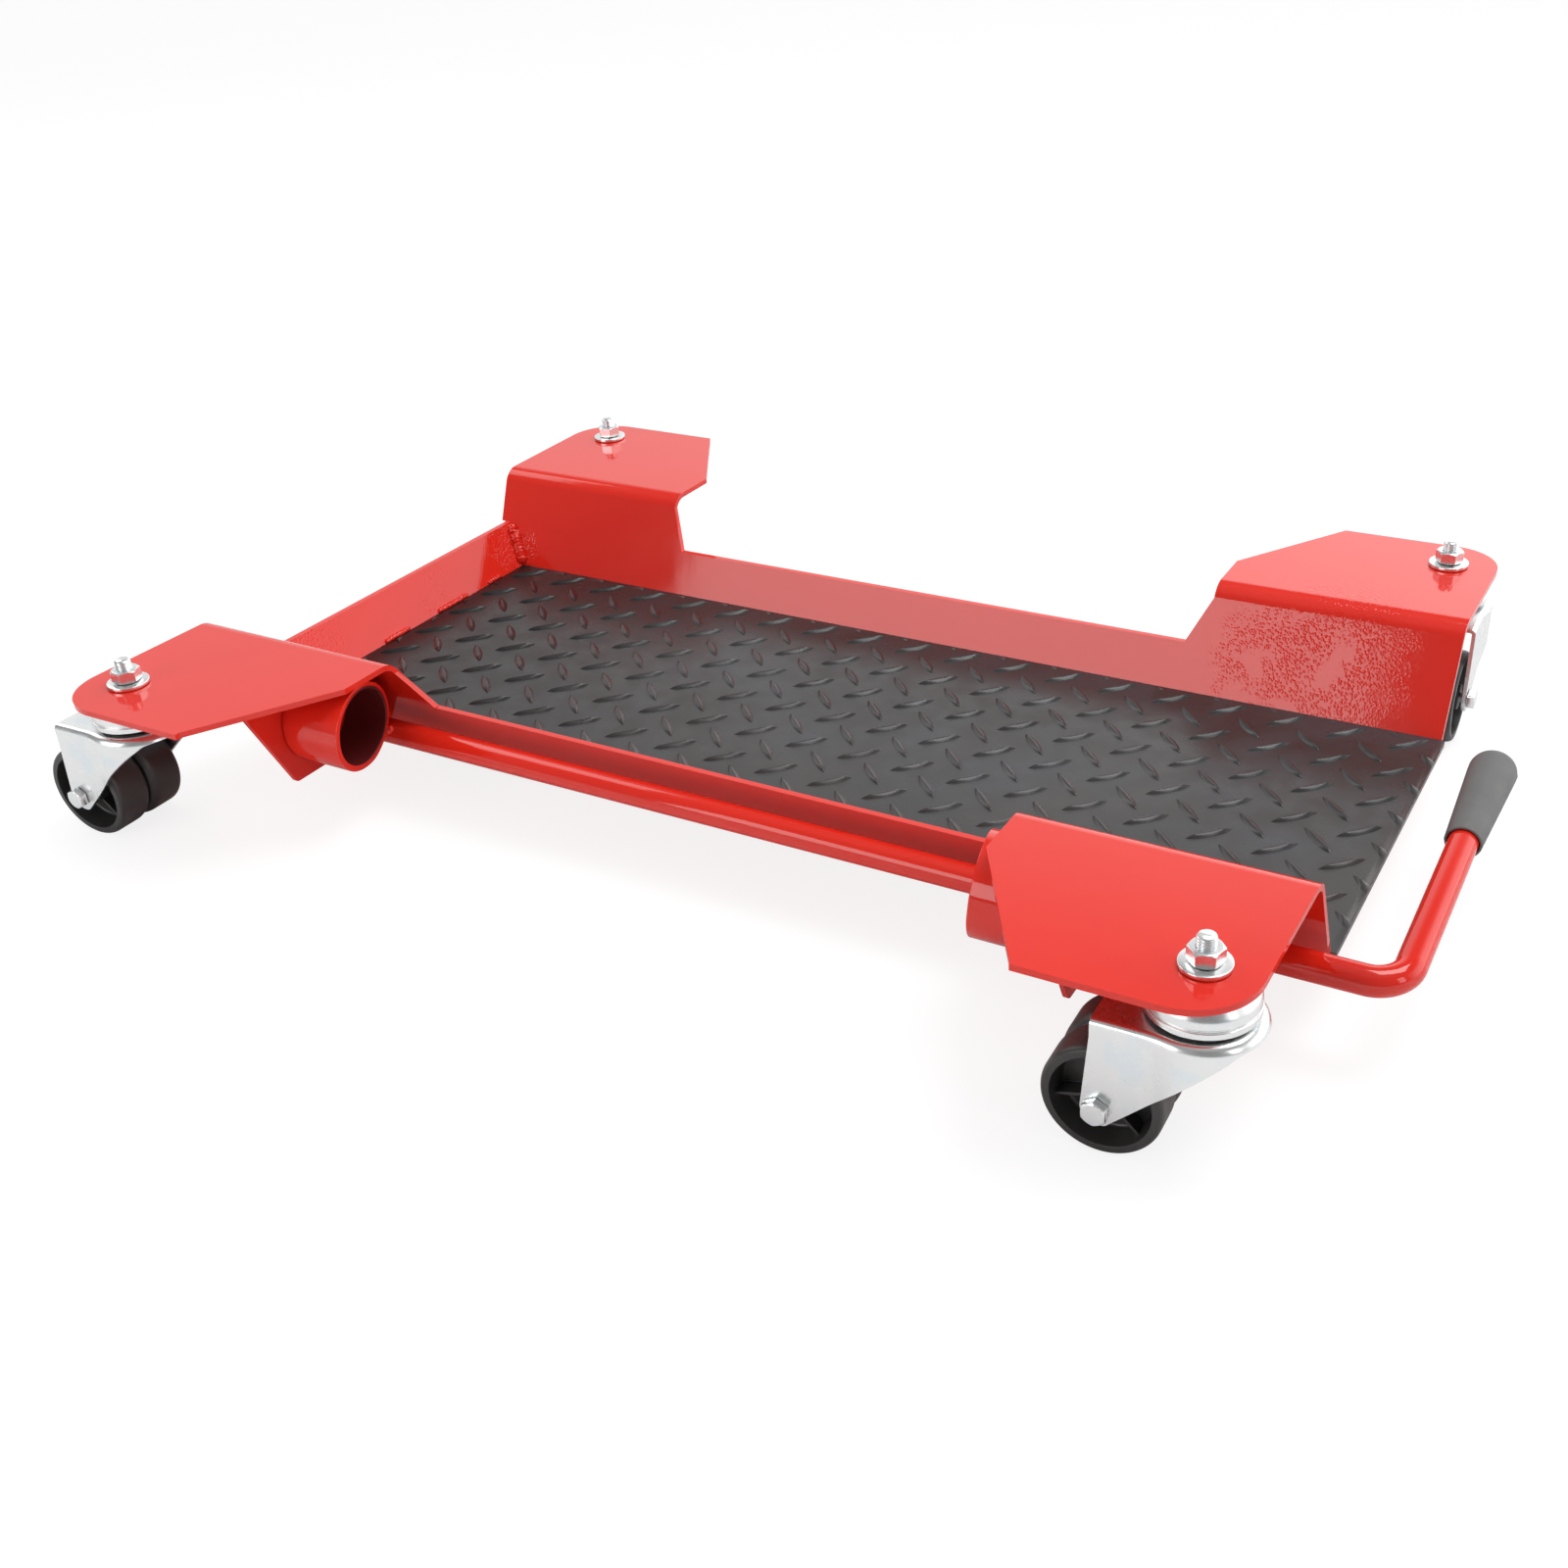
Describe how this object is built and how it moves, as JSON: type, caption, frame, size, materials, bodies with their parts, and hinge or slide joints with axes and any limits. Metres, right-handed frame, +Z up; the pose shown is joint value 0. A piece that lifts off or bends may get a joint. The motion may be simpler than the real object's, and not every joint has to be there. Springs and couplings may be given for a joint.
{
  "type": "motorcycle centre-stand dolly",
  "caption": "Low red steel platform on twin-wheel swivel casters that moves a motorcycle parked on its centre stand, with a lever that swings two tubes to the ground as a brake.",
  "frame": {"origin": "centre of the platform, on the top face of its rubber mat", "axes": "+X along the platform towards the lever end, +Y away from the brake shaft, +Z up from the mat"},
  "size_m": [0.7038, 0.4668, 0.1009],
  "materials": {
    "painted_steel": "glossy red powder coat with light orange peel",
    "rubber_mat": "black rubber with raised tread lugs, satin",
    "zinc_plate": "bright zinc plate with a faint blue tint",
    "wheel_plastic": "black moulded plastic, satin",
    "grip": "dark grey moulded rubber, matt",
    "cage_plastic": "black plastic"
  },
  "bodies": {
    "frame": {"pan": "painted_steel", "rubber_mat": "rubber_mat", "left_gusset": "painted_steel", "right_gusset": "painted_steel", "fl_stud": "zinc_plate", "fl_washer": "zinc_plate", "fl_stud_nut": "zinc_plate", "fl_swivel_cup": "zinc_plate", "fr_stud": "zinc_plate", "fr_washer": "zinc_plate", "fr_stud_nut": "zinc_plate", "fr_swivel_cup": "zinc_plate", "bl_stud": "zinc_plate", "bl_washer": "zinc_plate", "bl_stud_nut": "zinc_plate", "bl_swivel_cup": "zinc_plate", "br_stud": "zinc_plate", "br_washer": "zinc_plate", "br_stud_nut": "zinc_plate", "br_swivel_cup": "zinc_plate"},
    "brake": {"brake_shaft": "painted_steel", "left_brake_tube": "painted_steel", "right_brake_tube": "painted_steel", "lever_grip": "grip"},
    "fl_fork_body": {"fl_fork": "zinc_plate", "fl_ball_cage": "cage_plastic", "fl_axle": "zinc_plate", "fl_axle_nut": "zinc_plate"},
    "fl_near_wheel_body": {"fl_wheel_near": "wheel_plastic"},
    "fl_far_wheel_body": {"fl_wheel_far": "wheel_plastic"},
    "fr_fork_body": {"fr_fork": "zinc_plate", "fr_ball_cage": "cage_plastic", "fr_axle": "zinc_plate", "fr_axle_nut": "zinc_plate"},
    "fr_near_wheel_body": {"fr_wheel_near": "wheel_plastic"},
    "fr_far_wheel_body": {"fr_wheel_far": "wheel_plastic"},
    "bl_fork_body": {"bl_fork": "zinc_plate", "bl_ball_cage": "cage_plastic", "bl_axle": "zinc_plate", "bl_axle_nut": "zinc_plate"},
    "bl_near_wheel_body": {"bl_wheel_near": "wheel_plastic"},
    "bl_far_wheel_body": {"bl_wheel_far": "wheel_plastic"},
    "br_fork_body": {"br_fork": "zinc_plate", "br_ball_cage": "cage_plastic", "br_axle": "zinc_plate", "br_axle_nut": "zinc_plate"},
    "br_near_wheel_body": {"br_wheel_near": "wheel_plastic"},
    "br_far_wheel_body": {"br_wheel_far": "wheel_plastic"}
  },
  "joints": [
    {"name": "brake_lever", "type": "hinge", "parent": "frame", "child": "brake", "pos_m": [0, -0.1254, 0.008], "axis": [1, 0, 0], "range_deg": [0, 128]},
    {"name": "fl_swivel", "type": "hinge", "parent": "frame", "child": "fl_fork_body", "pos_m": [-0.289, -0.2044, 0.03], "axis": [0, 0, 1], "continuous": true},
    {"name": "fl_near_spin", "type": "hinge", "parent": "fl_fork_body", "child": "fl_near_wheel_body", "pos_m": [-0.32129, -0.20525, -0.0076], "axis": [-0.0262, 0.9997, 0], "continuous": true},
    {"name": "fl_far_spin", "type": "hinge", "parent": "fl_fork_body", "child": "fl_far_wheel_body", "pos_m": [-0.32129, -0.20525, -0.0076], "axis": [-0.0262, 0.9997, 0], "continuous": true},
    {"name": "fr_swivel", "type": "hinge", "parent": "frame", "child": "fr_fork_body", "pos_m": [0.2875, -0.2031, 0.03], "axis": [0, 0, 1], "continuous": true},
    {"name": "fr_near_spin", "type": "hinge", "parent": "fr_fork_body", "child": "fr_near_wheel_body", "pos_m": [0.25521, -0.20389, -0.0076], "axis": [-0.0244, 0.9997, 0], "continuous": true},
    {"name": "fr_far_spin", "type": "hinge", "parent": "fr_fork_body", "child": "fr_far_wheel_body", "pos_m": [0.25521, -0.20389, -0.0076], "axis": [-0.0244, 0.9997, 0], "continuous": true},
    {"name": "bl_swivel", "type": "hinge", "parent": "frame", "child": "bl_fork_body", "pos_m": [-0.2851, 0.206, 0.03], "axis": [0, 0, 1], "continuous": true},
    {"name": "bl_near_spin", "type": "hinge", "parent": "bl_fork_body", "child": "bl_near_wheel_body", "pos_m": [-0.2851, 0.1737, -0.0076], "axis": [-1, 0, 0], "continuous": true},
    {"name": "bl_far_spin", "type": "hinge", "parent": "bl_fork_body", "child": "bl_far_wheel_body", "pos_m": [-0.2851, 0.1737, -0.0076], "axis": [-1, 0, 0], "continuous": true},
    {"name": "br_swivel", "type": "hinge", "parent": "frame", "child": "br_fork_body", "pos_m": [0.2861, 0.2003, 0.03], "axis": [0, 0, 1], "continuous": true},
    {"name": "br_near_spin", "type": "hinge", "parent": "br_fork_body", "child": "br_near_wheel_body", "pos_m": [0.28666, 0.168, -0.0076], "axis": [-0.9998, -0.0175, 0], "continuous": true},
    {"name": "br_far_spin", "type": "hinge", "parent": "br_fork_body", "child": "br_far_wheel_body", "pos_m": [0.28666, 0.168, -0.0076], "axis": [-0.9998, -0.0175, 0], "continuous": true}
  ]
}
